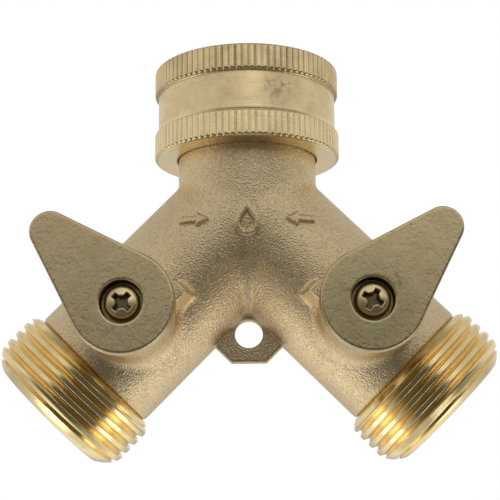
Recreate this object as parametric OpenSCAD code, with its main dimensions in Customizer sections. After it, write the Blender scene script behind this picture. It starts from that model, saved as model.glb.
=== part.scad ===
// Two-way brass hose splitter: swivel inlet nut, two ball valves with levers, two threaded outlets.
// Millimetres. Z up, levers on the -Y side, origin at the mouth of the inlet nut.

/* [Overall layout] */
// Distance from the inlet mouth down to the point where the three waterways meet
centre_drop = 25.1; // [20:0.1:32]
// Angle of each leg below the horizontal
leg_angle = 45; // [30:1:60]
// Outside radius of the legs
leg_r = 11.5; // [10:0.1:14]
// Outside radius of the neck
neck_r = 11.5; // [10:0.1:14]
// Length of the cast leg, measured from the meeting point to the outlet thread
leg_len = 35; // [30:0.1:45]
// Distance of each valve from the meeting point, along the leg
valve_at = 25.7; // [22:0.1:32]

/* [Inlet nut] */
// Outside radius over the knurled bands
nut_r = 15.5; // [14.5:0.1:18]
// Outside radius of the plain band between the knurled bands
nut_mid_r = 14.9; // [14:0.1:17]
// Height of the nut
nut_h = 15.5; // [13:0.1:20]
// Height of each knurled band
band_h = 4.55; // [3:0.05:6]
// Minor radius of the internal G 3/4 thread
inlet_minor_r = 12.06; // [11.5:0.01:12.5]
// Depth of the internal thread down to the washer
inlet_depth = 8.6; // [7:0.1:12]
// Bore radius of the lip that runs on the neck
lip_r = 11.7; // [11.55:0.01:12]

/* [Outlet threads] */
// Major radius of the external G 3/4 thread
outlet_major_r = 13.22; // [13:0.01:13.5]
// Length of each threaded spigot
outlet_len = 11; // [9:0.1:14]
// Length of the lead-in chamfer at the end of the thread
lead_in = 2.8; // [0.5:0.1:4]
// Radius at the end of the lead-in chamfer
lead_in_r = 11.6; // [11:0.1:13]
// Radius of the plain shoulder between the casting and the thread
shoulder_r = 12.5; // [12:0.1:13.2]
// Length of that shoulder
shoulder_len = 1.2; // [0.5:0.1:2]

/* [Waterways] */
// Bore radius of the neck
inlet_bore_r = 7; // [6:0.1:8]
// Bore radius of the passages and of the balls
port_r = 4.75; // [4:0.05:5.5]
// Bore radius of the valve chamber
chamber_r = 7.65; // [7.5:0.01:8]
// Bore radius of the outlet that holds the seat retainer
retainer_bore_r = 8.5; // [8:0.05:9]

/* [Valves] */
// Radius of the ball
ball_r = 7.5; // [6.5:0.1:8]
// Radius of the stem
stem_r = 3; // [2.5:0.05:3.5]
// Running clearance on a radius
run_gap = 0.05; // [0.02:0.01:0.1]
// Side of the square drive on the stem
square_w = 4; // [3.5:0.1:4.2]
// Cross-section radius of the stem O-rings
oring_wire_r = 0.6; // [0.5:0.05:0.8]

/* [Levers] */
// Height of the lever face above the leg centre line
lever_face = 25.2; // [22:0.1:27]
// Thickness of the lever arm
lever_t = 4.6; // [3:0.1:6]
// Radius of the round end over the stem
disc_r = 7.6; // [6.5:0.1:9]
// Radius of the lever skirt at its lower edge
skirt_r = 7.1; // [6.5:0.1:8]
// Radius of the finger end
tip_r = 3; // [2.5:0.05:4]
// Distance from the stem to the centre of the finger end
lever_reach = 14.9; // [12:0.1:20]
// Radius of the recess around the screw head
recess_r = 3.2; // [2.9:0.05:3.6]
// Depth of the recess around the screw head
recess_d = 2.5; // [2:0.1:3]
// Height of the lower edge of the lever skirt
skirt_low = 12.6; // [12.4:0.1:13.5]
// Inside radius of the lever skirt
skirt_in_r = 5.1; // [4.9:0.05:5.5]

/* [Hanging lug] */
// Thickness of the lug
lug_t = 2.6; // [2:0.1:4]
// Distance of the lug hole below the meeting point
lug_hole_drop = 19.7; // [18:0.1:22]
// Radius of the lug hole
lug_hole_r = 2.3; // [2:0.05:3]

/* [Raised marks] */
// Height of the raised marks above the casting
mark_h = 0.4; // [0.2:0.05:0.8]

/* [Hidden] */
$fn = 96;
e = 0.5;
tiny = 0.02;
neck_top = 14;
washer_t = 2.5;
ring_z = -13.3;
ring_at_r = 11.7;
ring_wire_r = 0.5;
groove_half = 0.6;
boss_top = 12.3;
collar_r = 4.8;
collar_top = 17.6;
pocket_r = 4.2;
pocket_top = 9.4;
flange_r = 4;
flange_low = 7.75;
flange_top = 8.95;
thrust_t = 0.4;
square_low = 17.8;
square_top = 22;
web_low = 18;
tongue_w = 3;
tongue_l = 6;
slot_floor = 4.8;
oring_low_w = 11.6;
oring_high_w = 15;
oring_at_r = 2.45;
groove_r = 1.85;
seat_len = 3.1;
seat_gap = 0.03;
seat_in_s = valve_at - 7.75;
seat_out_s = valve_at + 7.75;
retainer_len = 4.6;
stop_side_lo = 1.9;
stop_side_hi = 4.7;
stop_reach = 9.6;
stop_top = 17.8;
screw_head_r = 2.5;
screw_head_h = 2.1;
screw_r = 1.25;
screw_len = 8;
outlet_end = leg_len + outlet_len;

// Frame of the left leg: X runs along the leg up to the meeting point,
// Y to the outer side of the leg, Z out of the front towards the levers.
module leg_frame() {
    translate([0, 0, -centre_drop])
    rotate([0, -leg_angle, 0])
    rotate([90, 0, 0])
    children();
}

// Frame of the left valve: as the leg frame, with the ball centre as origin.
module valve_frame() {
    leg_frame()
    translate([-valve_at, 0, 0])
    children();
}

module right_side() {
    mirror([1, 0, 0])
    children();
}

// Cylinder on the leg axis between two distances from the meeting point.
module along_leg(from, to, r1, r2) {
    translate([-from, 0, 0])
    rotate([0, -90, 0])
    cylinder(h = to - from, r1 = r1, r2 = r2);
}

// Cylinder on the stem axis between two heights.
module up_stem(from, to, r1, r2) {
    translate([0, 0, from])
    cylinder(h = to - from, r1 = r1, r2 = r2);
}

// ---- casting ----

// Stop for the lever, with its nose and its inner side sloped like the casting.
module stop_block() {
    difference() {
        translate([2, -stop_side_hi, 6])
        cube([stop_reach - 2, stop_side_hi - stop_side_lo, stop_top - 6]);
        // sloped nose
        translate([stop_reach - 1, -stop_side_hi - e, stop_top])
        rotate([0, 8, 0])
        translate([0, 0, -14])
        cube([4, 8, 20]);
    }
}

module leg_outside() {
    leg_frame()
    union() {
        along_leg(0, leg_len + e, leg_r, leg_r);
        along_leg(leg_len, leg_len + shoulder_len + e, shoulder_r, shoulder_r);
        along_leg(leg_len + shoulder_len, outlet_end - lead_in, outlet_major_r, outlet_major_r);
        along_leg(outlet_end - lead_in, outlet_end, outlet_major_r, lead_in_r);
    }
    valve_frame()
    union() {
        up_stem(0, boss_top, skirt_r, skirt_r);
        up_stem(0, collar_top, collar_r, collar_r);
        stop_block();
    }
}

module leg_inside() {
    leg_frame()
    union() {
        along_leg(0, valve_at, port_r, port_r);
        along_leg(seat_in_s, seat_out_s + e, chamber_r, chamber_r);
        along_leg(seat_out_s, outlet_end + e, retainer_bore_r, retainer_bore_r);
        along_leg(outlet_end - 0.8, outlet_end + tiny, retainer_bore_r, retainer_bore_r + 0.8);
    }
    valve_frame()
    union() {
        up_stem(0, pocket_top, pocket_r, pocket_r);
        up_stem(0, collar_top + e, stem_r + run_gap, stem_r + run_gap);
    }
}

module drop_outline() {
    difference() {
        union() {
            translate([0, -0.8])
            circle(r = 2);
            polygon([[-1.72, 0.22], [0, 3.2], [1.72, 0.22]]);
        }
        union() {
            translate([0, -0.8])
            circle(r = 1.15);
            polygon([[-0.99, -0.21], [0, 1.55], [0.99, -0.21]]);
        }
    }
}

module arrow_outline() {
    union() {
        polygon([[-2.4, -0.4], [0.5, -0.4], [0.5, 0.4], [-2.4, 0.4]]);
        polygon([[0.3, -1.2], [2.4, 0], [0.3, 1.2]]);
    }
}

module marks() {
    intersection() {
        translate([0, -5, -centre_drop - 2.8])
        rotate([90, 0, 0])
        linear_extrude(height = 10)
        union() {
            drop_outline();
            translate([-8.4, 0])
            arrow_outline();
            translate([8.4, 0])
            mirror([1, 0, 0])
            arrow_outline();
        }
        union() {
            leg_frame()
            along_leg(-2, 20, leg_r + mark_h, leg_r + mark_h);
            right_side()
            leg_frame()
            along_leg(-2, 20, leg_r + mark_h, leg_r + mark_h);
            translate([0, 0, -centre_drop])
            cylinder(h = 8, r = neck_r + mark_h);
        }
    }
}

module lug_outline() {
    polygon([[-6, -15.2], [-8.6, -18.7], [-2.85, -24.35], [2.85, -24.35], [8.6, -18.7],
        [6, -15.2], [0, -9]]);
}

module body() {
    color("goldenrod")
    difference() {
        union() {
            translate([0, 0, -centre_drop])
            cylinder(h = neck_top - 0.5, r = neck_r);
            translate([0, 0, -centre_drop + neck_top - 0.5])
            cylinder(h = 0.5, r1 = neck_r, r2 = neck_r - 0.5);
            leg_outside();
            right_side()
            leg_outside();
            translate([0, lug_t / 2, -centre_drop])
            rotate([90, 0, 0])
            linear_extrude(height = lug_t)
            lug_outline();
            marks();
        }
        translate([0, 0, -centre_drop])
        cylinder(h = neck_top + e, r = inlet_bore_r);
        translate([0, 0, -centre_drop])
        sphere(r = inlet_bore_r);
        leg_inside();
        right_side()
        leg_inside();
        // groove for the snap ring
        translate([0, 0, ring_z - groove_half])
        difference() {
            cylinder(h = 2 * groove_half, r = neck_r + 1);
            translate([0, 0, -e])
            cylinder(h = 2 * groove_half + 2 * e, r = ring_at_r - ring_wire_r - 0.1);
        }
        // hanging hole
        translate([0, lug_t, -centre_drop - lug_hole_drop])
        rotate([90, 0, 0])
        cylinder(h = 2 * lug_t, r = lug_hole_r);
    }
}

// ---- inlet nut ----

module band(low) {
    bevel = 0.45;
    translate([0, 0, low])
    union() {
        cylinder(h = bevel, r1 = nut_r - bevel, r2 = nut_r);
        translate([0, 0, bevel])
        cylinder(h = band_h - 2 * bevel, r = nut_r);
        translate([0, 0, band_h - bevel])
        cylinder(h = bevel, r1 = nut_r, r2 = nut_r - bevel);
    }
}

module swivel_nut() {
    color("gold")
    difference() {
        union() {
            translate([0, 0, -nut_h + e])
            cylinder(h = nut_h - 2 * e, r = nut_mid_r);
            band(-nut_h);
            band(-band_h);
        }
        // lip bore, running on the neck
        translate([0, 0, -nut_h - e])
        cylinder(h = nut_h, r = lip_r);
        // thread
        translate([0, 0, -inlet_depth - tiny])
        cylinder(h = inlet_depth + tiny + e, r = inlet_minor_r);
        // washer room, relieved behind the thread
        translate([0, 0, -inlet_depth - washer_t - 0.4])
        cylinder(h = washer_t + 0.4, r = inlet_minor_r + 0.2);
        // groove for the snap ring
        translate([0, 0, ring_z - groove_half])
        cylinder(h = 2 * groove_half, r = ring_at_r + ring_wire_r + 0.15);
    }
}

module nut_snap_ring() {
    color("silver")
    translate([0, 0, ring_z])
    difference() {
        rotate_extrude()
        translate([ring_at_r, 0])
        circle(r = ring_wire_r, $fn = 32);
        translate([0, -1.6, -2])
        cube([20, 3.2, 4]);
    }
}

module inlet_washer() {
    color("dimgray")
    translate([0, 0, -inlet_depth - washer_t + tiny])
    difference() {
        cylinder(h = washer_t - tiny, r = inlet_minor_r - 0.16);
        translate([0, 0, -e])
        cylinder(h = washer_t + 2 * e, r = inlet_bore_r + 0.8);
    }
}

// ---- valve pieces, drawn for the left leg ----

module ball() {
    valve_frame()
    difference() {
        sphere(r = ball_r);
        translate([0, -ball_r - e, 0])
        rotate([-90, 0, 0])
        cylinder(h = 2 * ball_r + 2 * e, r = port_r);
        translate([-ball_r, -tongue_w / 2 - run_gap, slot_floor])
        cube([2 * ball_r, tongue_w + 2 * run_gap, ball_r]);
    }
}

module seat_ring(from) {
    leg_frame()
    difference() {
        along_leg(from, from + seat_len, chamber_r - run_gap, chamber_r - run_gap);
        along_leg(from - e, from + seat_len + e, port_r, port_r);
        translate([-valve_at, 0, 0])
        sphere(r = ball_r + seat_gap);
        // relief that clears the pocket of the stem flange
        translate([-valve_at, 0, 0])
        cylinder(h = 20, r = pocket_r + 0.2);
    }
}

module inner_seat() {
    seat_ring(seat_in_s + tiny);
}

module outer_seat() {
    seat_ring(seat_out_s - seat_len - tiny);
}

module seat_retainer() {
    leg_frame()
    difference() {
        along_leg(seat_out_s + tiny, seat_out_s + retainer_len,
            retainer_bore_r - run_gap, retainer_bore_r - run_gap);
        along_leg(seat_out_s - e, seat_out_s + retainer_len + e, port_r, port_r);
        // hexagon socket for the assembly key
        translate([-seat_out_s - retainer_len + 2.6, 0, 0])
        rotate([0, -90, 0])
        cylinder(h = 3, r = 6.35, $fn = 6);
    }
}

module oring_groove(at) {
    translate([0, 0, at - oring_wire_r - 0.05])
    difference() {
        cylinder(h = 2 * oring_wire_r + 0.1, r = stem_r + 1);
        translate([0, 0, -e])
        cylinder(h = 2 * oring_wire_r + 0.1 + 2 * e, r = groove_r - run_gap);
    }
}

module stem() {
    valve_frame()
    difference() {
        union() {
            intersection() {
                translate([-tongue_l / 2, -tongue_w / 2, slot_floor + 0.2])
                cube([tongue_l, tongue_w, flange_low - slot_floor]);
                up_stem(0, 20, flange_r, flange_r);
            }
            up_stem(flange_low, flange_top, flange_r, flange_r);
            up_stem(flange_top - tiny, square_low, stem_r, stem_r);
            translate([-square_w / 2, -square_w / 2, square_low - tiny])
            cube([square_w, square_w, square_top - square_low + tiny]);
        }
        oring_groove(oring_low_w);
        oring_groove(oring_high_w);
        up_stem(square_top - 7, square_top + e, screw_r + 0.02, screw_r + 0.02);
    }
}

module oring(at) {
    valve_frame()
    translate([0, 0, at])
    rotate_extrude()
    translate([oring_at_r, 0])
    circle(r = oring_wire_r - 0.02, $fn = 32);
}

module thrust_washer() {
    valve_frame()
    translate([0, 0, flange_top + 0.01])
    difference() {
        cylinder(h = thrust_t, r = flange_r);
        translate([0, 0, -e])
        cylinder(h = thrust_t + 2 * e, r = stem_r + run_gap);
    }
}

// Flat outline of the lever: round end, straight tangent sides and finger end.
module lever_outline() {
    lean = asin((disc_r - tip_r) / lever_reach);
    union() {
        circle(r = disc_r);
        translate([0, lever_reach])
        circle(r = tip_r);
        polygon([[-disc_r * cos(lean), disc_r * sin(lean)],
            [disc_r * cos(lean), disc_r * sin(lean)],
            [tip_r * cos(lean), lever_reach + tip_r * sin(lean)],
            [-tip_r * cos(lean), lever_reach + tip_r * sin(lean)]]);
    }
}

module lever() {
    valve_frame()
    difference() {
        union() {
            translate([0, 0, lever_face - lever_t])
            linear_extrude(height = lever_t)
            lever_outline();
            up_stem(skirt_low, lever_face - lever_t + tiny, skirt_r, disc_r - 0.1);
        }
        // hollow of the skirt around the stem collar
        up_stem(skirt_low - e, web_low, skirt_in_r, skirt_in_r);
        // square hole for the stem
        translate([-square_w / 2 - run_gap, -square_w / 2 - run_gap, web_low - e])
        cube([square_w + 2 * run_gap, square_w + 2 * run_gap, square_top - web_low + e + 0.2]);
        up_stem(web_low, lever_face, screw_r + 0.15, screw_r + 0.15);
        up_stem(lever_face - recess_d, lever_face + e, recess_r, recess_r);
        // notch that leaves a quarter turn between the two sides of the stop
        difference() {
            translate([stop_side_lo - run_gap, -stop_side_hi - run_gap, skirt_low - e])
            cube([12, 20, stop_top + 0.4 - skirt_low + e]);
            up_stem(skirt_low - 2 * e, lever_face, skirt_in_r, skirt_in_r);
        }
    }
}

module lever_screw() {
    valve_frame()
    translate([0, 0, lever_face - recess_d + tiny])
    difference() {
        union() {
            cylinder(h = 1.1, r = screw_head_r);
            translate([0, 0, 1.1])
            cylinder(h = 0.6, r1 = screw_head_r, r2 = screw_head_r - 0.5);
            translate([0, 0, 1.7])
            cylinder(h = screw_head_h - 1.7, r1 = screw_head_r - 0.5, r2 = 1.2);
            translate([0, 0, -screw_len + 1])
            cylinder(h = screw_len, r = screw_r);
        }
        // cross recess
        translate([-1.35, -0.32, 0.9])
        cube([2.7, 0.64, 2]);
        translate([-0.32, -1.35, 0.9])
        cube([0.64, 2.7, 2]);
    }
}

module left_ball() {
    color("silver")
    ball();
}

module left_inner_seat() {
    color("white")
    inner_seat();
}

module left_outer_seat() {
    color("white")
    outer_seat();
}

module left_seat_retainer() {
    color("gold")
    seat_retainer();
}

module left_stem() {
    color("gold")
    stem();
}

module left_lower_oring() {
    color("dimgray")
    oring(oring_low_w);
}

module left_upper_oring() {
    color("dimgray")
    oring(oring_high_w);
}

module left_thrust_washer() {
    color("white")
    thrust_washer();
}

module left_lever() {
    color("darkkhaki")
    lever();
}

module left_lever_screw() {
    color("gold")
    lever_screw();
}

module right_ball() {
    color("silver")
    right_side()
    ball();
}

module right_inner_seat() {
    color("white")
    right_side()
    inner_seat();
}

module right_outer_seat() {
    color("white")
    right_side()
    outer_seat();
}

module right_seat_retainer() {
    color("gold")
    right_side()
    seat_retainer();
}

module right_stem() {
    color("gold")
    right_side()
    stem();
}

module right_lower_oring() {
    color("dimgray")
    right_side()
    oring(oring_low_w);
}

module right_upper_oring() {
    color("dimgray")
    right_side()
    oring(oring_high_w);
}

module right_thrust_washer() {
    color("white")
    right_side()
    thrust_washer();
}

module right_lever() {
    color("darkkhaki")
    right_side()
    lever();
}

module right_lever_screw() {
    color("gold")
    right_side()
    lever_screw();
}

body();
swivel_nut();
nut_snap_ring();
inlet_washer();
left_ball();
left_inner_seat();
left_outer_seat();
left_seat_retainer();
left_stem();
left_lower_oring();
left_upper_oring();
left_thrust_washer();
left_lever();
left_lever_screw();
right_ball();
right_inner_seat();
right_outer_seat();
right_seat_retainer();
right_stem();
right_lower_oring();
right_upper_oring();
right_thrust_washer();
right_lever();
right_lever_screw();
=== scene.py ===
"""Looks of the brass hose splitter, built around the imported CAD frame.

Sizes and places are in millimetres and turned into metres when a mesh, node, light or camera is made.
Texture scales are per metre. A leg has its own coordinates: s along the leg away from the meeting point,
b towards its outer side, w out of the front.
"""
import itertools
import math

import bpy
import numpy as np
from mathutils import Matrix, Vector


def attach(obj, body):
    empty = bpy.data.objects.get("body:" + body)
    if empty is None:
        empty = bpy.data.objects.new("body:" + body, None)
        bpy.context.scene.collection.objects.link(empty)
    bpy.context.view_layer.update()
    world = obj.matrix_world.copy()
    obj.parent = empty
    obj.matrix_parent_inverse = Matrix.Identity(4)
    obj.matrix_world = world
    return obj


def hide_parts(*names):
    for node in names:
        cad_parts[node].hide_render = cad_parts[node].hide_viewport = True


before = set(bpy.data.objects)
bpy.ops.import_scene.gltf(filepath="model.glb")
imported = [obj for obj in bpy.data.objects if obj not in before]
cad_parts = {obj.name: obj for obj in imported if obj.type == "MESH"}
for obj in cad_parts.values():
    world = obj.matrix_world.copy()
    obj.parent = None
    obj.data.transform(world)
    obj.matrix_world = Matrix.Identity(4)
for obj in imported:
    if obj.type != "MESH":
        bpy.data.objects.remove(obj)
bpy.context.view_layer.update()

MM = 0.001
C45 = math.sqrt(0.5)

# the whole part
CENTRE_Z = -25.1            # height of the point where neck and legs meet
VALVE_AT = 25.7             # from there along a leg to its valve
LEG_R = 11.5
LEG_LEN = 35.6
NECK_LEN = 14
OUTLET_END = 45.8
SPIGOT_START = LEG_LEN - 0.1

# casting
NECK_BORE_R = 7
PORT_R = 4.75
CHAMBER_R, CHAMBER_HALF = 7.65, 7.75
OUTLET_BORE_R = 8.5
STEM_HOLE_R = 3.05
STEM_POCKET_R, STEM_POCKET_TOP = 4.2, 9.4
BOSS_R, BOSS_TOP = 7.1, 12.3
COLLAR_R, COLLAR_TOP = 4.8, 17.6
BLOCK_TOP, BLOCK_NOSE, BLOCK_LOW, BLOCK_HIGH = 17.8, 8.3, 4.45, 1.9
RING_GROOVE_LOW, RING_GROOVE_HIGH, RING_GROOVE_R = -13.9, -12.7, 11.1
LUG = [(-6, -13.2), (-8.6, -18.7), (-2.85, -24.35), (2.85, -24.35), (8.6, -18.7), (6, -13.2), (0, -9)]
LUG_HALF = 1.3
LUG_HOLE_R, LUG_HOLE_DROP = 2.3, 19.7
MARKS_DROP, MARK_HEIGHT, ARROW_AT = 2.8, 0.6, 8.4

# lever and screw
LEVER_FACE, LEVER_THICK = 25.2, 4.6
DISC_R, TIP_R, TIP_AT = 7.6, 3.0, 14.9
SKIRT_R, SKIRT_END = 7.1, 12.6
HOLLOW_R, HOLLOW_TOP = 5.1, 18
NOTCH_X, NOTCH_Y, NOTCH_TOP = 1.5, -4.8, 18.2
RECESS_R, RECESS_DEPTH = 3.2, 2.5
SCREW_HOLE_R, SCREW_HOLE_START = 1.4, 17
SCREW_SEAT = LEVER_FACE - RECESS_DEPTH + 0.02
HEAD_R, DOME_R, DOME_DROP = 2.64, 8.0, 6.0
SHAFT_R, SHAFT_TIP = 1.25, -7
CROSS_FLOOR, CROSS_ARM, CROSS_HALF_WIDTH, CROSS_HEART_R = 0.35, 1.68, 0.34, 0.72

# threads, G 3/4
PITCH = 1.814
CREST, ROOT = 13.16, 12.28
NUT_CREST, NUT_THREAD_DEPTH = 12.06, 1.16

# swivel nut
NUT_R, NUT_MID, NUT_H, BAND_H = 15.5, 14.9, 15.5, 4.55
TEETH, KNURL_DEPTH = 90, 0.34

# how finely each piece is meshed, and the boxes that hold the meshed surfaces
CASTING_CELL, LEVER_CELL, SCREW_CELL = 0.2, 0.17, 0.07
CASTING_BOX = (-34, -19, -60), (34, 12.5, -10.6)
LEVER_BOX = (-8.2, -8.2, 12.1), (8.2, 18.5, 25.8)
SCREW_BOX = (-2.8, -2.8, -7.4), (2.8, 2.8, 2.5)
SPIGOT_COLUMNS, NUT_COLUMNS = 256, TEETH * 8


# ---- distance fields ----

def smin(a, b, k):
    """Smooth union: a fillet of size k where the two surfaces meet."""
    h = np.clip(0.5 + 0.5 * (b - a) / k, 0, 1)
    return b + (a - b) * h - k * h * (1 - h)


def smax(a, b, k):
    """Smooth intersection."""
    return -smin(-a, -b, k)


def slab(v, lo, hi):
    """Distance to the space between two parallel planes."""
    return np.abs(v - (lo + hi) / 2) - (hi - lo) / 2


def rounded(parts, r):
    """Intersection of slabs or walls with edges rounded to radius r."""
    total = 0
    inner = None
    for d in parts:
        d = d + r
        total = total + np.maximum(d, 0) ** 2
        inner = d if inner is None else np.maximum(inner, d)
    return np.sqrt(total) + np.minimum(inner, 0) - r


def polygon(x, y, pts):
    """Signed distance to a closed polygon in the plane."""
    pts = np.asarray(pts, float)
    d = np.full(x.shape, 1e9)
    inside = np.ones(x.shape)
    for (ax, ay), (bx, by) in zip(pts, np.roll(pts, -1, axis=0)):
        ex, ey = bx - ax, by - ay
        wx, wy = x - ax, y - ay
        t = np.clip((wx * ex + wy * ey) / (ex * ex + ey * ey), 0, 1)
        d = np.minimum(d, (wx - ex * t) ** 2 + (wy - ey * t) ** 2)
        c1, c2, c3 = y >= ay, y < by, ex * wy > ey * wx
        inside = np.where((c1 & c2 & c3) | (~c1 & ~c2 & ~c3), -inside, inside)
    return inside * np.sqrt(d)


def capsule(x, y, r1, r2, h):
    """Distance to a round end r1 at the origin joined to a round end r2 at (0, h) by tangent sides."""
    x = np.abs(x)
    b = (r1 - r2) / h
    a = math.sqrt(1 - b * b)
    k = -b * x + a * y
    side = x * a + y * b - r1
    return np.where(k < 0, np.hypot(x, y) - r1, np.where(k > a * h, np.hypot(x, y - h) - r2, side))


# ---- a mesh from a distance field ----

COARSE_STEP = 5
GRID_SHIFT = (0.0137, 0.0291, 0.0473)     # keeps grid points off the flat and 45 degree faces


def sample(field, axes, cell):
    """Field values on a grid: worked out near the surface, and taken from a coarser grid elsewhere."""
    coarse = [a[COARSE_STEP // 2::COARSE_STEP] for a in axes]
    gx, gy, gz = np.meshgrid(*coarse, indexing="ij")
    values = field(gx.ravel(), gy.ravel(), gz.ravel()).reshape(gx.shape)
    pick = [np.minimum(np.arange(len(a)) // COARSE_STEP, len(c) - 1) for a, c in zip(axes, coarse)]
    f = values[np.ix_(*pick)].astype(np.float32)
    near = np.nonzero(np.abs(f) < cell * COARSE_STEP * 1.15)
    f[near] = field(axes[0][near[0]], axes[1][near[1]], axes[2][near[2]])
    return f


def number_cells(f):
    """A number for each cell that the surface passes through, -1 for the others, and how many there are."""
    inside = f < 0
    nx, ny, nz = (k - 1 for k in f.shape)
    corners = np.zeros((nx, ny, nz), np.int8)
    for i, j, k in itertools.product((0, 1), repeat=3):
        corners += inside[i:nx + i, j:ny + j, k:nz + k]
    crossed = (corners > 0) & (corners < 8)
    index = np.full(crossed.shape, -1, np.int64)
    index[crossed] = np.arange(crossed.sum())
    return index, crossed.sum()


def pull_to_surface(pos, field, cell):
    """Moves the vertices along the field's gradient onto its zero surface."""
    h = cell * 0.1
    for _ in range(3):
        x, y, z = pos.T
        d = field(x, y, z)
        g = np.stack([field(x + h, y, z) - field(x - h, y, z),
                      field(x, y + h, z) - field(x, y - h, z),
                      field(x, y, z + h) - field(x, y, z - h)], 1) / (2 * h)
        g2 = np.maximum((g * g).sum(1), 0.2)
        move = g * (d / g2)[:, None]
        size = np.linalg.norm(move, axis=1)
        move *= np.minimum(1, 0.7 * cell / np.maximum(size, 1e-9))[:, None]
        pos -= move
    return pos


def surface(field, lo, hi, cell):
    """Vertices and quads of the zero surface of field(x, y, z), a vertex for each cell that it crosses."""
    lo, hi = np.asarray(lo, float) + GRID_SHIFT, np.asarray(hi, float)
    n = (np.ceil((hi - lo) / cell / COARSE_STEP).astype(int)) * COARSE_STEP + 1
    axes = [lo[i] + cell * np.arange(n[i]) for i in range(3)]
    f = sample(field, axes, cell)
    index, count = number_cells(f)
    pos, hits, faces = np.zeros((count, 3)), np.zeros(count), []
    for a in range(3):
        u, v = (a + 1) % 3, (a + 2) % 3
        first, last = [slice(None)] * 3, [slice(None)] * 3
        first[a], last[a] = slice(0, n[a] - 1), slice(1, n[a])
        f0, f1 = f[tuple(first)], f[tuple(last)]
        edge = np.nonzero((f0 < 0) != (f1 < 0))
        keep = (edge[u] > 0) & (edge[u] < n[u] - 1) & (edge[v] > 0) & (edge[v] < n[v] - 1)
        edge = [e[keep] for e in edge]
        start, end = f0[tuple(edge)], f1[tuple(edge)]
        t = start / (start - end)
        crossing = np.stack([lo[i] + cell * edge[i] for i in range(3)], 1).astype(float)
        crossing[:, a] += cell * t
        quad = []
        for du, dv in ((-1, -1), (0, -1), (0, 0), (-1, 0)):
            cell_at = [e.copy() for e in edge]
            cell_at[u] += du
            cell_at[v] += dv
            k = index[tuple(cell_at)]
            np.add.at(pos, k, crossing)
            np.add.at(hits, k, 1)
            quad.append(k)
        quad = np.stack(quad, 1)
        flip = start > 0
        quad[flip] = quad[flip][:, ::-1]
        faces.append(quad)
    pos /= np.maximum(hits, 1)[:, None]
    return pull_to_surface(pos, field, cell), np.concatenate(faces)


def make(name, verts, faces, body, mat, nodes=(), matrix=None):
    """A piece that rides on a CAD body. matrix, in metres, places vertices given in a local frame."""
    mesh = bpy.data.meshes.new(name)
    faces = np.asarray(faces)
    verts = np.asarray(verts) * MM
    if matrix is not None:
        m = np.array(matrix)
        verts = verts @ m[:3, :3].T + m[:3, 3]
    mesh.vertices.add(len(verts))
    mesh.vertices.foreach_set("co", verts.astype(np.float32).ravel())
    mesh.loops.add(faces.size)
    mesh.loops.foreach_set("vertex_index", faces.ravel().astype(np.int32))
    mesh.polygons.add(len(faces))
    mesh.polygons.foreach_set("loop_start", (np.arange(len(faces)) * faces.shape[1]).astype(np.int32))
    mesh.polygons.foreach_set("use_smooth", np.full(len(faces), True))
    mesh.update(calc_edges=True)
    mesh.validate()
    obj = bpy.data.objects.new(name, mesh)
    bpy.context.scene.collection.objects.link(obj)
    mesh.materials.append(mat)
    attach(obj, body)
    if nodes:
        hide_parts(*nodes)
    return obj


# ---- the casting; zz is the height above the meeting point ----

def leg_coords(x, y, zz):
    """s, b and w of the left leg."""
    return -(x + zz) * C45, (zz - x) * C45, -y


def pipes(x, y, zz):
    """The two legs and the neck. Their fillets grow from nothing at the meeting point."""
    end_edge, grown_at = 0.5, 9
    legs = []
    for side_x in (x, -x):
        s, b, w = leg_coords(side_x, y, zz)
        legs.append(smax(np.maximum(np.hypot(b, w) - LEG_R, -s), s - LEG_LEN - 0.1, end_edge))
    neck = smax(np.maximum(np.hypot(x, y) - LEG_R, -zz), zz - NECK_LEN, end_edge)
    away = np.hypot(x, zz)
    grow = np.minimum(away / grown_at, 1)
    crotch_fillet = 0.02 + grow * (1.8 - 0.5 * np.clip((away - grown_at) / 7, 0, 1))
    neck_fillet = 0.02 + 0.55 * grow
    return smin(smin(legs[0], legs[1], crotch_fillet), neck, neck_fillet)


def with_valve_boss(f, s, b, w):
    """Adds the boss, the collar round the stem and the stop block, with drafted sides."""
    nose_draft, side_draft = 0.14, 0.025
    inward = VALVE_AT - s
    r = np.hypot(inward, b)
    boss = rounded([r - BOSS_R, slab(w, 0, BOSS_TOP)], 0.3)
    f = smin(f, boss, 1.6)
    collar = rounded([r - COLLAR_R, slab(w, 0, COLLAR_TOP)], 0.2)
    f = smin(f, collar, 0.3)
    nose = (inward - BLOCK_NOSE - (BLOCK_TOP - w) * nose_draft) * 0.99
    low = -b - BLOCK_LOW - (BLOCK_TOP - w) * side_draft
    sides = [slab(w, 5, BLOCK_TOP), np.maximum(2 - inward, nose), np.maximum(low, b + BLOCK_HIGH)]
    return smin(f, rounded(sides, 0.3), 0.9)


def with_lug(f, x, y, zz):
    """Adds the hanging lug and its hole."""
    lug = rounded([polygon(x, zz, LUG), np.abs(y) - LUG_HALF], 0.3)
    f = smin(f, lug, 0.2)
    return smax(f, LUG_HOLE_R - np.hypot(x, zz + LUG_HOLE_DROP), 0.35)


def drop_mark(x, z):
    """Outline of a water drop, drawn as a band."""
    z = z + 0.8
    r, tip = 2.0, 4.0
    half_band = 0.45
    nz = r / tip
    nx = math.sqrt(1 - nz * nz)
    x = np.abs(x)
    shape = np.where(x * nz > z * nx, np.hypot(x, z) - r, x * nx + z * nz - r)
    return np.abs(shape + half_band) - half_band


def arrow_mark(x, z):
    """Arrow pointing to +x."""
    shaft = np.maximum(slab(x, -2.4, 0.6), np.abs(z) - 0.55)
    head = polygon(x, z, [(2.4, 0), (0.3, 1.2), (0.3, -1.2)])
    return np.minimum(shaft, head)


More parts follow.
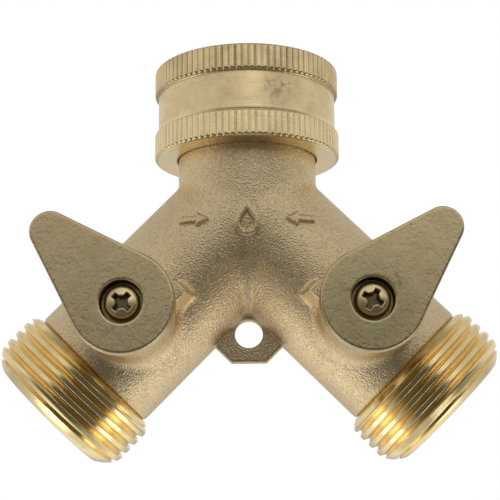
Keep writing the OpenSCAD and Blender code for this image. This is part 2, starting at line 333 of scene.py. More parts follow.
def with_marks(f, x, y, zz):
    """Adds a drop between two arrows, raised on the front."""
    zone = (y < 0) & (np.abs(zz + MARKS_DROP) < 5) & (np.abs(x) < 12.5)
    if zone.any():
        mx, mz = x[zone], zz[zone] + MARKS_DROP
        flat = np.minimum(drop_mark(mx, mz), arrow_mark(ARROW_AT - np.abs(mx), mz))
        mark = rounded([flat, f[zone] - MARK_HEIGHT], 0.32)
        f[zone] = smin(f[zone], mark, 0.15)
    return f


def hollows(x, y, zz, s, b, w):
    """Everything inside: neck bore, port, ball chamber, outlet and the space of the stem."""
    rho = np.hypot(x, y)
    bw = np.hypot(b, w)
    stem_r = np.hypot(VALVE_AT - s, b)
    chamber_end = VALVE_AT + CHAMBER_HALF
    return np.minimum.reduce([
        np.maximum(rho - NECK_BORE_R, -zz),
        np.sqrt(rho ** 2 + zz ** 2) - NECK_BORE_R,
        np.maximum(bw - PORT_R, slab(s, 0, VALVE_AT)),
        np.maximum(bw - CHAMBER_R, slab(s, VALVE_AT - CHAMBER_HALF, chamber_end + 0.5)),
        np.maximum(bw - OUTLET_BORE_R, slab(s, chamber_end, LEG_LEN + 5)),
        np.maximum(stem_r - STEM_POCKET_R, slab(w, 0, STEM_POCKET_TOP)),
        np.maximum(stem_r - STEM_HOLE_R, slab(w, 0, 20)),
    ])


def casting_field(x, y, z):
    zz = z - CENTRE_Z
    # legs, bosses and hollows are the same on both sides, so this is the left one for every point
    s, b, w = leg_coords(-np.abs(x), y, zz)
    f = pipes(x, y, zz)
    f = with_valve_boss(f, s, b, w)
    f = with_lug(f, x, y, zz)
    f = with_marks(f, x, y, zz)
    f = smax(f, -hollows(x, y, zz, s, b, w), 0.15)
    ring_groove = np.maximum(slab(z, RING_GROOVE_LOW, RING_GROOVE_HIGH), RING_GROOVE_R - np.hypot(x, y))
    return np.maximum(f, -ring_groove)


# ---- lever and screw in the left valve's frame: x inwards along the leg, y outwards, z out of the front ----

def lever_field(x, y, z):
    bevel = 0.14
    flat = capsule(x, y, DISC_R, TIP_R, TIP_AT)
    plate = rounded([flat, slab(z, LEVER_FACE - LEVER_THICK, LEVER_FACE)], 0.12)
    plate = np.maximum(plate, (flat + z - LEVER_FACE + bevel) * C45)
    r = np.hypot(x, y)
    skirt = np.maximum(r - SKIRT_R - (z - SKIRT_END) * 0.05, slab(z, SKIRT_END, LEVER_FACE - 1))
    skirt = np.maximum(skirt, (r - SKIRT_R + SKIRT_END - z + 0.25) * C45)
    f = smin(plate, skirt, 0.5)
    hollow = np.maximum(r - HOLLOW_R, z - HOLLOW_TOP)
    f = smax(f, -hollow, 0.2)
    stop_notch = np.maximum(np.maximum(NOTCH_X - x, NOTCH_Y - y), z - NOTCH_TOP)
    f = smax(f, -stop_notch, 0.2)
    recess = np.maximum(r - RECESS_R, LEVER_FACE - RECESS_DEPTH - z)
    f = smax(f, -recess, 0.2)
    screw_hole = np.maximum(r - SCREW_HOLE_R, SCREW_HOLE_START - z)
    return np.maximum(f, -screw_hole)


def screw_field(x, y, z):
    """Cross-recess screw, z up from the seat of the head."""
    r = np.hypot(x, y)
    dome = np.sqrt(x ** 2 + y ** 2 + (z + DOME_DROP) ** 2) - DOME_R
    head = np.maximum(rounded([r - HEAD_R, np.maximum(-1 - z, dome)], 0.7), -z)
    shaft = np.maximum(r - SHAFT_R, slab(z, SHAFT_TIP, 0.5))
    f = np.minimum(head, shaft)
    # the four arms widen towards the top, round a heart in the middle
    half_width = CROSS_HALF_WIDTH + (z - CROSS_FLOOR) * 0.05
    arm_end = CROSS_ARM + (z - (DOME_R - DOME_DROP)) * 0.3
    arm1 = np.maximum(np.abs(x) - half_width, np.abs(y) - arm_end)
    arm2 = np.maximum(np.abs(y) - half_width, np.abs(x) - arm_end)
    heart = r - CROSS_HEART_R - (z - CROSS_FLOOR) * 0.15
    cross = np.maximum(smin(np.minimum(arm1, arm2), heart, 0.2), CROSS_FLOOR - z)
    return smax(f, -cross, 0.12)


# ---- pieces from the lathe ----

def tube(rows, columns, point):
    """Quads over closed rings of points, from each row to the next and from the last back to the first."""
    column = np.arange(columns)
    verts = np.concatenate([point(row, column * 2 * math.pi / columns) for row in rows])
    here = np.arange(len(rows))[:, None] * columns
    there = (np.arange(len(rows))[:, None] + 1) % len(rows) * columns
    beside = (column + 1) % columns
    faces = np.stack([here + column, here + beside, there + beside, there + column], -1)
    return verts, faces.reshape(-1, 4)


def ring(r, angle, height):
    """Points about the z axis. r is one radius, or one for each angle."""
    return np.stack([r * np.cos(angle), r * np.sin(angle), np.full(angle.shape, float(height))], 1)


def thread_wave(phase):
    """Height 0 to 1 of a 55 degree thread with rounded crests and roots, over one turn of phase 0 to 1."""
    t = np.abs((phase % 1.0) - 0.5) * 2
    v = np.clip((t - 0.04) / 0.56, 0, 1)
    return v * v * (3 - 2 * v) * 0.4 + v * 0.6


# tops and grooves of the thread: distance from the casting (IN) or the outlet's end (OUT), and radius there
TOPS_IN = ((0.2, 11.6), (0.5, 12.2), (1.2, 12.95), (1.7, CREST))
TOPS_OUT = ((3.2, CREST), (2.4, 12.95), (1.4, 12.25), (0.6, 11.4), (0.2, 10.85), (0.0, 10.4))
GROOVES_IN = ((0.2, 11.6), (1.0, 12.45), (2.0, ROOT))
GROOVES_OUT = ((2.5, ROOT), (1.6, 11.75), (0.6, 10.95), (0.0, 10.2))


def along_spigot(s, near_casting, near_end):
    places = [LEG_LEN + d for d, _ in near_casting] + [OUTLET_END - d for d, _ in near_end]
    return np.interp(s, places, [r for _, r in near_casting + near_end])


def outlet_thread(phase):
    """The machined spigot of an outlet, along +z from the casting. Rows without a radius are threaded."""
    shoulder = ((0, 9.5), (0, 10.9), (0.12, 11.0), (0.24, 11.25), (0.28, 11.45))
    rim_and_bore = ((0.15, 10.7), (0.04, 10.55), (0, 10.4), (0, 10.1), (0, 9.8), (0, 9.45), (0.08, 9.3),
                    (0.8, 8.52), (0.95, OUTLET_BORE_R), (3, OUTLET_BORE_R), (7, OUTLET_BORE_R))
    rows = [(SPIGOT_START + d, r) for d, r in shoulder]
    rows += [(s, None) for s in np.arange(SPIGOT_START + 0.36, OUTLET_END - 0.25, 0.07)]
    rows += [(OUTLET_END - d, r) for d, r in rim_and_bore]
    rows += [(SPIGOT_START + 0.1, OUTLET_BORE_R), (SPIGOT_START, OUTLET_BORE_R + 0.1)]

    def point(row, angle):
        s, r = row
        if r is None:
            wave = thread_wave((s - phase) / PITCH - angle / (2 * math.pi))
            top = along_spigot(s, TOPS_IN, TOPS_OUT)
            low = min(along_spigot(s, GROOVES_IN, GROOVES_OUT), top)
            r = np.clip(low + (CREST - low) * wave, low, top)
        return ring(r, angle, s)

    return tube(rows, SPIGOT_COLUMNS, point)


# height from the band's edge, inset, share of the knurl's depth
BAND_EDGE = ((0.02, 0.62, 0.0), (0.10, 0.40, 0.1), (0.22, 0.16, 0.4), (0.38, 0.02, 0.8))


def knurled_band(low):
    rows = [(low + h, NUT_R - inset, depth) for h, inset, depth in BAND_EDGE]
    rows += [(low + t, NUT_R, 1.0) for t in np.linspace(0.6, BAND_H - 0.6, 8)]
    rows += [(low + BAND_H - h, NUT_R - inset, depth) for h, inset, depth in reversed(BAND_EDGE)]
    return rows


def nut_rows():
    """Height, radius and share of the knurl's depth, once round the nut's section.

    Rows without a radius are threaded.
    """
    under = ((0.25, 11.7), (0.06, 11.78), (0, 11.95), (0, 12.6), (0, 13.6), (0, 14.5), (0, 14.75))
    rows = [(-NUT_H + up, r, 0) for up, r in under]
    rows += knurled_band(-NUT_H)
    low, high = -NUT_H + BAND_H, -BAND_H
    rows += [(low + 0.05, NUT_MID - 0.02, 0), (low + 0.12, NUT_MID, 0)]
    rows += [(z, NUT_MID, 0) for z in np.linspace(low + 0.5, high - 0.5, 7)]
    rows += [(high - 0.12, NUT_MID, 0), (high - 0.05, NUT_MID - 0.02, 0)]
    rows += knurled_band(-BAND_H)
    rows += [(0, r, 0) for r in (14.7, 14.3, 13.8, 13.45)]
    rows += [(-0.06, 13.3, 0)]
    rows += [(z, None, 0) for z in np.arange(-0.15, -8.45, -0.08)]
    # washer seat, then the groove that the snap ring runs in
    bore = ((-8.6, 12.3), (-8.75, 12.26), (-10.0, 12.26), (-11.4, 12.26), (-11.5, 12.2), (-11.5, 11.75),
            (-11.6, 11.7), (-12.65, 11.7), (-12.7, 11.75), (-12.7, 12.3), (-12.75, 12.35), (-13.85, 12.35),
            (-13.9, 12.3), (-13.9, 11.75), (-13.95, 11.7), (-14.6, 11.7))
    return rows + [(z, r, 0) for z, r in bore]


def nut_thread_radius(z, angle):
    """Internal thread with a wide entry at the mouth and a run-out at its end."""
    wave = 1 - thread_wave(z / PITCH - angle / (2 * math.pi))
    entry = np.interp(z, [-1.2, 0], [NUT_CREST, 13.3])
    r = np.maximum(NUT_CREST + NUT_THREAD_DEPTH * wave, entry)
    thread_end = -8.2
    return np.where(z < thread_end, np.maximum(r, NUT_CREST + (thread_end - z)), r)


def nut_point(row, angle):
    z, r, depth = row
    if r is None:
        return ring(nut_thread_radius(z, angle), angle, z)
    tooth = angle * TEETH / (2 * math.pi)
    t = np.abs((tooth % 1.0) - 0.5) * 2
    uneven = 0.85 + 0.15 * np.sin(np.round(tooth) * 2.4) + 0.1 * np.sin(np.round(tooth) * 0.7)
    cut = np.clip((t - 0.42) / 0.58, 0, 1)
    return ring(r - depth * KNURL_DEPTH * uneven * cut, angle, z)


def leg_matrix(right):
    """Frame of a leg for lathe pieces: z along the leg, y out of the front."""
    sx = 1 if right else -1
    axis = Vector((sx * C45, 0, -C45))
    front = Vector((0, -1, 0))
    m = Matrix((front.cross(axis), front, axis)).transposed().to_4x4()
    m.translation = Vector((0, 0, CENTRE_Z * MM))
    return m


def valve_matrix(right):
    """Frame of a valve: x along the leg, y towards its outer side, z out of the front."""
    sx = 1 if right else -1
    along_leg = Vector((C45, 0, -sx * C45))
    outer_side = Vector((sx * C45, 0, C45))
    front = Vector((0, -1, 0))
    m = Matrix((along_leg, outer_side, front)).transposed().to_4x4()
    m.translation = Vector((sx * VALVE_AT * C45, 0, CENTRE_Z - VALVE_AT * C45)) * MM
    return m


# ---- node trees ----

class Graph:
    """Short names for the nodes that the materials and the world use."""

    def __init__(self, tree):
        self.tree = tree

    def add(self, kind, **values):
        node = self.tree.nodes.new(kind)
        for k, v in values.items():
            setattr(node, k, v)
        return node

    def link(self, a, b):
        self.tree.links.new(a, b)

    def put(self, value, socket):
        """Links a socket, or sets a number."""
        if isinstance(value, bpy.types.NodeSocket):
            self.link(value, socket)
        else:
            socket.default_value = value

    def calc(self, op, a, b=0.0):
        n = self.add("ShaderNodeMath", operation=op)
        self.put(a, n.inputs[0])
        self.put(b, n.inputs[1])
        return n.outputs[0]

    def ramp(self, value, lo, hi, to_lo=0.0, to_hi=1.0):
        """A smooth step from to_lo at lo to to_hi at hi."""
        n = self.add("ShaderNodeMapRange")
        n.interpolation_type = "SMOOTHSTEP"
        self.link(value, n.inputs["Value"])
        for k, v in (("From Min", lo), ("From Max", hi), ("To Min", to_lo), ("To Max", to_hi)):
            n.inputs[k].default_value = v
        return n.outputs[0]

    def mix(self, fac, a, b):
        n = self.add("ShaderNodeMix", data_type="RGBA")
        self.put(fac, n.inputs["Factor"])
        for value, socket in ((a, n.inputs[6]), (b, n.inputs[7])):
            if isinstance(value, tuple):
                value = (*value, 1.0)
            self.put(value, socket)
        return n.outputs[2]


class Paint(Graph):
    """A material, with textures in the object's coordinates or in those of a local frame."""

    def __init__(self, name, matrix=None):
        self.mat = bpy.data.materials.new(name)
        self.mat.use_nodes = True
        super().__init__(self.mat.node_tree)
        self.bsdf = self.tree.nodes["Principled BSDF"]
        self.coords = self.add("ShaderNodeTexCoord").outputs["Object"]
        if matrix is not None:
            local = self.add("ShaderNodeMapping")
            back = matrix.inverted()
            local.inputs["Rotation"].default_value = back.to_euler()
            local.inputs["Location"].default_value = back.translation
            self.link(self.coords, local.inputs["Vector"])
            self.coords = local.outputs[0]

    def stretch(self, x, y, z):
        """Coordinates scaled along each axis."""
        n = self.add("ShaderNodeMapping")
        self.link(self.coords, n.inputs["Vector"])
        n.inputs["Scale"].default_value = (x, y, z)
        return n.outputs[0]

    def noise(self, scale, detail=3.0, rough=0.5, vector=None, distortion=0.0):
        n = self.add("ShaderNodeTexNoise")
        self.link(vector or self.coords, n.inputs["Vector"])
        n.inputs["Scale"].default_value = scale
        n.inputs["Detail"].default_value = detail
        n.inputs["Roughness"].default_value = rough
        n.inputs["Distortion"].default_value = distortion
        return n.outputs[0]

    def cells(self, scale):
        """Distance to the nearest of scattered points, with smooth borders."""
        n = self.add("ShaderNodeTexVoronoi", feature="SMOOTH_F1")
        self.link(self.coords, n.inputs["Vector"])
        n.inputs["Scale"].default_value = scale
        return n.outputs["Distance"]

    def bump(self, height, distance, strength=1.0, after=None):
        n = self.add("ShaderNodeBump")
        n.inputs["Distance"].default_value = distance * MM
        n.inputs["Strength"].default_value = strength
        self.link(height, n.inputs["Height"])
        if after:
            self.link(after, n.inputs["Normal"])
        return n.outputs[0]

    def radius_and_height(self):
        """Distance from the z axis and height, in metres."""
        split = self.add("ShaderNodeSeparateXYZ")
        self.link(self.coords, split.inputs[0])
        x, y, z = split.outputs
        squares = self.calc("ADD", self.calc("MULTIPLY", x, x), self.calc("MULTIPLY", y, y))
        return self.calc("SQRT", squares), z

    def near(self, spot, radius):
        """1 at a spot, fading to 0 at a radius."""
        n = self.add("ShaderNodeVectorMath", operation="DISTANCE")
        self.link(self.coords, n.inputs[0])
        n.inputs[1].default_value = Vector(spot) * MM
        return self.ramp(n.outputs["Value"], radius * MM, radius * 0.3 * MM)

    def inside(self, radius, below, soft):
        """1 deeper than a height and nearer to the z axis than a radius, 0 elsewhere."""
        r, z = self.radius_and_height()
        near = self.ramp(r, radius * MM, (radius - 0.1) * MM)
        return self.calc("MULTIPLY", near, self.ramp(z, below * MM, (below - soft) * MM))

    def done(self, color, rough, normal=None, metallic=1.0):
        self.link(color, self.bsdf.inputs["Base Color"])
        self.put(rough, self.bsdf.inputs["Roughness"])
        self.bsdf.inputs["Metallic"].default_value = metallic
        if normal:
            self.link(normal, self.bsdf.inputs["Normal"])
        return self.mat


# ---- materials ----

def cast_brass():
    """Shot-blasted skin: a sparkling grain over broad patches, painted shade on the lug between the legs and
    painted shade for one small pit.
    """
    n = Paint("cast_brass")
    broad = n.noise(90, 4, 0.55)
    patch = n.noise(420, 3, 0.6)
    grain = n.noise(3900, 2, 0.5)
    pits = n.cells(3900)
    color = n.mix(n.ramp(broad, 0.35, 0.65), (0.77, 0.60, 0.345), (0.83, 0.65, 0.38))
    color = n.mix(n.ramp(patch, 0.55, 0.75, 0, 0.4), color, (0.62, 0.475, 0.27))
    color = n.mix(n.ramp(grain, 0.52, 0.66, 0, 0.6), color, (0.95, 0.80, 0.57))
    color = n.mix(n.ramp(grain, 0.46, 0.32, 0, 0.45), color, (0.38, 0.28, 0.16))
    lug_shade_middle, pit_shade_at = (0, 0, -47.5), (-11.9, -10.0, -30.1)
    # painted shade: darkens the lug and the crotch round it, between the legs
    color = n.mix(n.calc("MULTIPLY", n.near(lug_shade_middle, 8.5), 0.5), color, (0.40, 0.31, 0.19))
    # painted shade: a small dark spot stands for a pit
    color = n.mix(n.near(pit_shade_at, 0.35), color, (0.16, 0.11, 0.06))
    rough = n.ramp(n.noise(700, 3, 0.6), 0.35, 0.7, 0.38, 0.46)
    normal = n.bump(grain, 0.09)
    normal = n.bump(pits, 0.08, 0.8, normal)
    normal = n.bump(patch, 0.03, 0.3, normal)
    return n.done(color, rough, normal)


def turned(name, light, dark, rough, lines=0.01, stains=0.5, matrix=None, hollow_shade=None, grooves=None, spots=()):
    """Brass from the lathe: fine rings about the z axis of the piece, faint stains, small specks.

    rough: lowest and highest roughness. hollow_shade: radius, height and depth of a hollow darkened with
    painted shade.
    grooves: radii of the bottom and the top of a knurl, with painted shade in its grooves and painted light
    on its lower band.
    spots: place, radius and amount of each stain.
    """
    n = Paint(name, matrix)
    rings = n.noise(1, 3, 0.7, n.stretch(60, 60, 9000))
    blot = n.noise(260, 4, 0.6, distortion=0.4)
    speck = n.noise(1800, 2, 0.5)
    color = n.mix(n.ramp(blot, 0.42, 0.68, 0, stains), light, dark)
    color = n.mix(n.ramp(rings, 0.45, 0.75, 0, 0.25), color, dark)
    color = n.mix(n.ramp(speck, 0.70, 0.78, 0, 0.7), color, (0.28, 0.19, 0.09))
    # painted shade in a hollow, here the screw's cross recess
    if hollow_shade:
        color = n.mix(n.calc("MULTIPLY", n.inside(*hollow_shade), 0.85), color, (0.10, 0.07, 0.035))
    for spot, radius, amount in spots:
        mark = n.calc("MULTIPLY", n.near(spot, radius), n.ramp(n.noise(900, 4, 0.6), 0.42, 0.6, 0, amount))
        color = n.mix(mark, color, (0.30, 0.22, 0.12))
    if grooves:
        # painted light and shade on the nut's knurls
        color = knurl_light_and_shade(n, color, *grooves)
    uneven = n.ramp(rings, 0.3, 0.7, 0, 0.06)
    shine = n.calc("ADD", n.ramp(blot, 0.3, 0.7, *rough), uneven)
    normal = n.bump(rings, lines)
    normal = n.bump(n.noise(1200, 3, 0.6), 0.02, 0.6, normal)
    return n.done(color, shine, normal)


def knurl_light_and_shade(n, color, low, top):
    """Painted light on the lower band and painted shade in the grooves, more on the upper band than on the
    lower.
    """
    r, z = n.radius_and_height()
    # painted light: the lower knurled band is made lighter
    color = n.mix(n.ramp(z, -10 * MM, -11 * MM, 0, 0.8), color, (0.95, 0.77, 0.44))
    # painted shade in the knurl's grooves, deeper on the upper band
    below_top = n.ramp(r, (top - 0.03) * MM, (top - 0.3) * MM)
    painted_shade = n.calc("MULTIPLY", below_top, n.ramp(r, low * MM, (low + 0.1) * MM))
    amount = n.ramp(z, -10 * MM, -5 * MM, 0.35, 0.8)
    return n.mix(n.calc("MULTIPLY", painted_shade, amount), color, (0.36, 0.26, 0.13))


def lever_bronze(name, matrix, tarnish_and_shade=False):
    """Satin cast lever: fine grain, long scratches, painted shade in the recess round the screw, and
    optionally dents and a darker, greener disc that is partly tarnish and partly painted shade.
    """
    n = Paint(name, matrix)
    broad = n.noise(70, 4, 0.6)
    fine = n.noise(2200, 3, 0.65)
    scratch = n.noise(1, 4, 0.7, n.stretch(500, 9000, 500))
    speck = n.noise(1500, 2, 0.5)
    color = n.mix(n.ramp(broad, 0.35, 0.65), (0.63, 0.50, 0.275), (0.69, 0.545, 0.30))
    color = n.mix(n.ramp(fine, 0.5, 0.68, 0, 0.45), color, (0.78, 0.65, 0.42))
    color = n.mix(n.ramp(fine, 0.48, 0.34, 0, 0.4), color, (0.46, 0.36, 0.19))
    color = n.mix(n.ramp(speck, 0.68, 0.76, 0, 0.6), color, (0.24, 0.18, 0.09))
    if tarnish_and_shade:
        # partly tarnish, partly painted shade: the disc is made darker and greener
        disc_tarnish_and_shade = n.calc("MULTIPLY", n.near((0, -2, LEVER_FACE), 10), 0.5)
        color = n.mix(disc_tarnish_and_shade, color, (0.40, 0.36, 0.19))
        ragged = n.ramp(n.noise(1100, 3, 0.6), 0.50, 0.60, 0, 0.8)
        dents = n.calc("MULTIPLY", n.near((0.2, 4.4, LEVER_FACE), 2.2), ragged)
        color = n.mix(dents, color, (0.34, 0.26, 0.13))
    # painted shade in the recess round the screw
    painted_shade = n.inside(RECESS_R + 0.2, LEVER_FACE - 0.4, 0.6)
    color = n.mix(n.calc("MULTIPLY", painted_shade, 0.65), color, (0.17, 0.13, 0.07))
    rough = n.ramp(fine, 0.3, 0.7, 0.26, 0.35)
    normal = n.bump(fine, 0.03)
    normal = n.bump(scratch, 0.01, 0.5, normal)
    normal = n.bump(n.noise(300, 2, 0.4), 0.07, 0.5, normal)
    return n.done(color, rough, normal)


def plain_metal(name, color, dark, rough):
    """Steel or chrome with faint wear."""
    n = Paint(name)
    wear = n.noise(900, 3, 0.6)
    tint = n.mix(n.ramp(wear, 0.4, 0.7), color, dark)
    normal = n.bump(n.noise(5000, 2, 0.6), 0.01)
    return n.done(tint, n.ramp(wear, 0.3, 0.7, rough, rough + 0.1), normal)


def soft(name, color, other, rough, bump):
    """Rubber or plastic: mottled, with moulding grain."""
    n = Paint(name)
    mottle = n.noise(600, 3, 0.6)
    grain = n.noise(7000, 3, 0.6)
    tint = n.mix(n.ramp(mottle, 0.35, 0.7), color, other)
    normal = n.bump(grain, bump)
    return n.done(tint, n.ramp(grain, 0.3, 0.7, rough, rough + 0.12), normal, metallic=0.0)


SIDES = (("left", False), ("right", True))
NUT_STAINS = (((4.5, -14.2, -7.2), 2.6, 0.5), ((6.6, -13.3, -6.6), 1.6, 0.4), ((2.2, -15.3, -12.4), 1.3, 0.9),
              ((2.6, -15.2, -13.9), 1.0, 0.9), ((-2.6, -14.7, -6.2), 0.5, 0.7))

CAST = cast_brass()
# the nut's knurls get painted light and shade
NUT = turned("nut_brass", (0.83, 0.655, 0.36), (0.66, 0.50, 0.27), (0.18, 0.28),
             grooves=(NUT_MID, NUT_R), spots=NUT_STAINS)
TURNED = turned("turned_brass", (0.74, 0.55, 0.27), (0.55, 0.38, 0.17), (0.22, 0.32))
THREADS = [turned(side + "_thread_brass", (0.99, 0.79, 0.41), (0.84, 0.62, 0.29), (0.09, 0.15),
                  lines=0.004, stains=0.4, matrix=leg_matrix(right)) for side, right in SIDES]
# the screws get painted shade in their cross recesses
SCREWS = [turned(side + "_screw_brass", (0.85, 0.68, 0.38), (0.50, 0.37, 0.19), (0.22, 0.34),
                 lines=0.004, stains=0.6, matrix=valve_matrix(right), hollow_shade=(1.9, SCREW_SEAT + 1.5, 0.5))
          for side, right in SIDES]
# the right lever's disc gets tarnish and painted shade
LEVERS = [lever_bronze(side + "_lever_bronze", valve_matrix(right), tarnish_and_shade=right) for side, right in SIDES]
SPRING = plain_metal("spring_steel", (0.60, 0.60, 0.62), (0.42, 0.41, 0.41), 0.28)
CHROME = plain_metal("ball_chrome", (0.86, 0.86, 0.88), (0.74, 0.74, 0.77), 0.05)
RUBBER = soft("washer_rubber", (0.022, 0.022, 0.022), (0.038, 0.037, 0.035), 0.52, 0.03)
ORING = soft("oring_rubber", (0.018, 0.018, 0.018), (0.03, 0.03, 0.03), 0.42, 0.01)
PTFE = soft("seat_ptfe", (0.86, 0.86, 0.83), (0.78, 0.77, 0.73), 0.34, 0.01)


# ---- the pieces ----

verts, faces = surface(casting_field, *CASTING_BOX, CASTING_CELL)
make("casting", verts, faces, "fitting", CAST, ("body",))

for (side, right), phase in zip(SIDES, (1.1, 1.5)):
    verts, faces = outlet_thread(phase)
    make(side + "_outlet_thread", verts, faces, "fitting",
         THREADS[right], matrix=leg_matrix(right))

verts, faces = tube(nut_rows(), NUT_COLUMNS, nut_point)
make("knurled_nut", verts, faces, "inlet_nut", NUT, ("swivel_nut",))

lever_verts, lever_faces = surface(lever_field, *LEVER_BOX, LEVER_CELL)
screw_verts, screw_faces = surface(screw_field, *SCREW_BOX, SCREW_CELL)
for (side, right), cross_turn in zip(SIDES, (2, 17)):
    # the right lever is the left one mirrored, with its faces turned the right way round again
    flip = np.array([-1 if right else 1, 1, 1])
    order = slice(None, None, -1 if right else 1)
    valve = valve_matrix(right)
    make(side + "_lever_arm", lever_verts * flip, lever_faces[:, order], side + "_valve",
         LEVERS[right], (side + "_lever",), valve)
    turned_cross = Matrix.Rotation(math.radians(cross_turn), 4, "Z")
    seat = valve @ Matrix.Translation((0, 0, SCREW_SEAT * MM)) @ turned_cross
    make(side + "_pan_screw", screw_verts, screw_faces, side + "_valve",
         SCREWS[right], (side + "_lever_screw",), seat)

# the CAD nodes that stay, by their names without the side
FINISH = {
    "nut_snap_ring": SPRING, "inlet_washer": RUBBER, "ball": CHROME, "inner_seat": PTFE, "outer_seat": PTFE,
    "seat_retainer": TURNED, "stem": TURNED, "lower_oring": ORING, "upper_oring": ORING,
    "thrust_washer": PTFE,
}
for name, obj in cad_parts.items():
    kind = name if name in FINISH else name.split("_", 1)[-1]
    if kind in FINISH:
        obj.data.materials.clear()
        obj.data.materials.append(FINISH[kind])


# ---- floor, lights and camera ----

FLOOR_SIZE, FLOOR_Z = 400, -100


def studio_floor():
    """A pale floor below the hanging part. It casts no shadow on the part and isn't mirrored in it."""
    n = Paint("floor_paint")
    light = (0.86, 0.86, 0.85)
    tint = n.mix(n.ramp(n.noise(3, 3, 0.5), 0.3, 0.7), light, tuple(c * 0.97 for c in light))
    mat = n.done(tint, n.ramp(n.noise(40, 3, 0.5), 0.3, 0.7, 0.6, 0.75), metallic=0.0)
    mesh = bpy.data.meshes.new("floor")
    h, z = FLOOR_SIZE / 2 * MM, FLOOR_Z * MM
    mesh.from_pydata([(-h, -h, z), (h, -h, z), (h, h, z), (-h, h, z)], [], [(0, 1, 2, 3)])
    mesh.materials.append(mat)
    floor = bpy.data.objects.new("floor", mesh)
    bpy.context.scene.collection.objects.link(floor)
    floor.visible_glossy = False
    floor.visible_shadow = False


def floor_light():
    """A soft light for the floor, not seen in the metal."""
    data = bpy.data.lights.new("floor_light", "AREA")
    data.shape = "RECTANGLE"
    data.size = data.size_y = 0.4
    data.energy = 3.2
    light = bpy.data.objects.new("floor_light", data)
    scene.collection.objects.link(light)
    light.location = Vector((0, -120, 450)) * MM
    toward = Vector((0, -60, FLOOR_Z)) * MM - light.location
    light.rotation_euler = toward.to_track_quat("-Z", "Y").to_euler()
    light.visible_glossy = False


# light from each height, as pairs of height and strength: -1 is straight down and 1 straight up
ROOM = [(-1, 0.5), (-0.7, 0.9), (-0.6, 0.9), (-0.35, 0.6), (-0.1, 0.45), (0.15, 0.75), (0.3, 0.75),
        (0.55, 0.55), (0.8, 0.65), (0.95, 0.25)]
DARK_FRONT = [(-1, 0.5), (-0.8, 0.1), (0.1, 0.07), (0.3, 0.25)]
# low reflectors on both sides and a faint one above the camera: azimuth from the front, elevation, strength
CARDS = [(-95, -47, 0.95), (85, -47, 1.3), (10, 30, 0.3)]
# the dark front: its azimuth, how far to each side it is full and gone, and between which heights it fades
FRONT_AT, FRONT_FULL, FRONT_GONE = 14, 42, 98
FADE_FROM, FADE_TO = 0.13, 0.265
CARD_EDGE, CARD_FULL = 0.935, 0.995     # cosines of the angle from a card's middle
WORLD_GAIN = 2.0


class Sky(Graph):
    """The studio's light by direction. Strengths are divided by WORLD_GAIN to fit a colour ramp's range."""

    def __init__(self, tree):
        super().__init__(tree)
        tree.nodes.clear()
        self.direction = self.add("ShaderNodeTexCoord").outputs["Generated"]
        split = self.add("ShaderNodeSeparateXYZ")
        self.link(self.direction, split.inputs[0])
        self.x, self.y, self.z = split.outputs

    def profile(self, points):
        up = self.calc("ADD", self.calc("MULTIPLY", self.z, 0.5), 0.5)
        n = self.add("ShaderNodeValToRGB")
        n.color_ramp.interpolation = "LINEAR"
        while len(n.color_ramp.elements) < len(points):
            n.color_ramp.elements.new(0.5)
        for element, (height, strength) in zip(n.color_ramp.elements, points):
            element.position = (height + 1) / 2
            element.color = (strength / WORLD_GAIN,) * 3 + (1,)
        self.link(up, n.inputs[0])
        return n.outputs[0]

    def card(self, azimuth, elevation, strength):
        """A round soft reflector; azimuth 0 is in front, 90 to the right."""
        az, el = math.radians(azimuth), math.radians(elevation)
        toward = self.add("ShaderNodeVectorMath", operation="DOT_PRODUCT")
        self.link(self.direction, toward.inputs[0])
        flat = math.cos(el)
        toward.inputs[1].default_value = (math.sin(az) * flat, -math.cos(az) * flat, math.sin(el))
        lit = self.ramp(toward.outputs["Value"], CARD_EDGE, CARD_FULL)
        return self.calc("MULTIPLY", lit, strength / WORLD_GAIN)

    def shell(self, color, strength):
        n = self.add("ShaderNodeBackground")
        self.put(color, n.inputs["Color"])
        n.inputs["Strength"].default_value = strength
        return n.outputs[0]


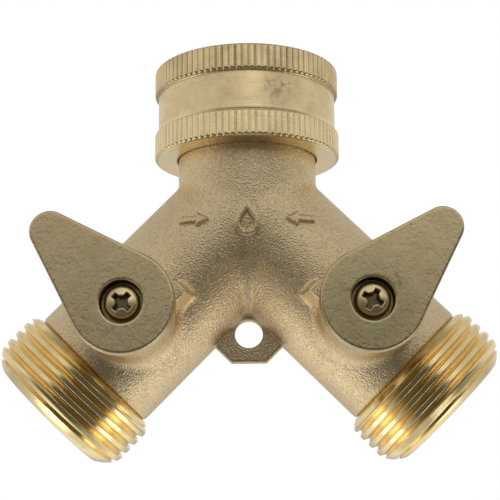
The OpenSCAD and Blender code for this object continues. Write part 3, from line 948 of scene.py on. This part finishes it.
def studio_world():
    """A bright room, dark in front up to a little above the horizon. The camera itself sees plain white."""
    world = bpy.data.worlds.new("studio")
    scene.world = world
    world.use_nodes = True
    sky = Sky(world.node_tree)
    azimuth = sky.calc("ARCTAN2", sky.x, sky.calc("MULTIPLY", sky.y, -1.0))
    aside = sky.calc("ABSOLUTE", sky.calc("SUBTRACT", azimuth, math.radians(FRONT_AT)))
    open_side = sky.ramp(aside, math.radians(FRONT_FULL), math.radians(FRONT_GONE))
    above = sky.ramp(sky.z, FADE_FROM, FADE_TO)
    light = sky.mix(sky.calc("MAXIMUM", open_side, above), sky.profile(DARK_FRONT), sky.profile(ROOM))
    for card in CARDS:
        light = sky.calc("ADD", light, sky.card(*card))
    both = sky.add("ShaderNodeMixShader")
    sky.link(sky.add("ShaderNodeLightPath").outputs["Is Camera Ray"], both.inputs[0])
    sky.link(sky.shell(light, WORLD_GAIN), both.inputs[1])
    sky.link(sky.shell((1, 1, 1, 1), 1.0), both.inputs[2])
    sky.link(both.outputs[0], sky.add("ShaderNodeOutputWorld").inputs[0])


LENS, SENSOR = 86.87, 36.0
PITCH_UP, ROLL, YAW = math.radians(12.10), math.radians(-0.63), math.radians(-0.37)
CAMERA_AT = Vector((1.60, -196.13, CENTRE_Z - 47.54))


def photo_camera():
    """The photograph's view: from the front, a little below the part and looking up."""
    flat = math.cos(PITCH_UP)
    ahead = Vector((math.sin(YAW) * flat, math.cos(YAW) * flat, math.sin(PITCH_UP)))
    level = ahead.cross(Vector((0, 0, 1))).normalized()
    upright = level.cross(ahead)
    right = math.cos(ROLL) * level + math.sin(ROLL) * upright
    up = -math.sin(ROLL) * level + math.cos(ROLL) * upright
    data = bpy.data.cameras.new("camera")
    data.lens = LENS
    data.sensor_width = SENSOR
    data.clip_start, data.clip_end = 0.01, 20
    camera = bpy.data.objects.new("camera", data)
    scene.collection.objects.link(camera)
    place = Matrix((right, up, -ahead)).transposed().to_4x4()
    place.translation = CAMERA_AT * MM
    camera.matrix_world = place
    scene.camera = camera


scene = bpy.context.scene
scene.view_settings.view_transform = "Standard"
studio_floor()
floor_light()
studio_world()
photo_camera()
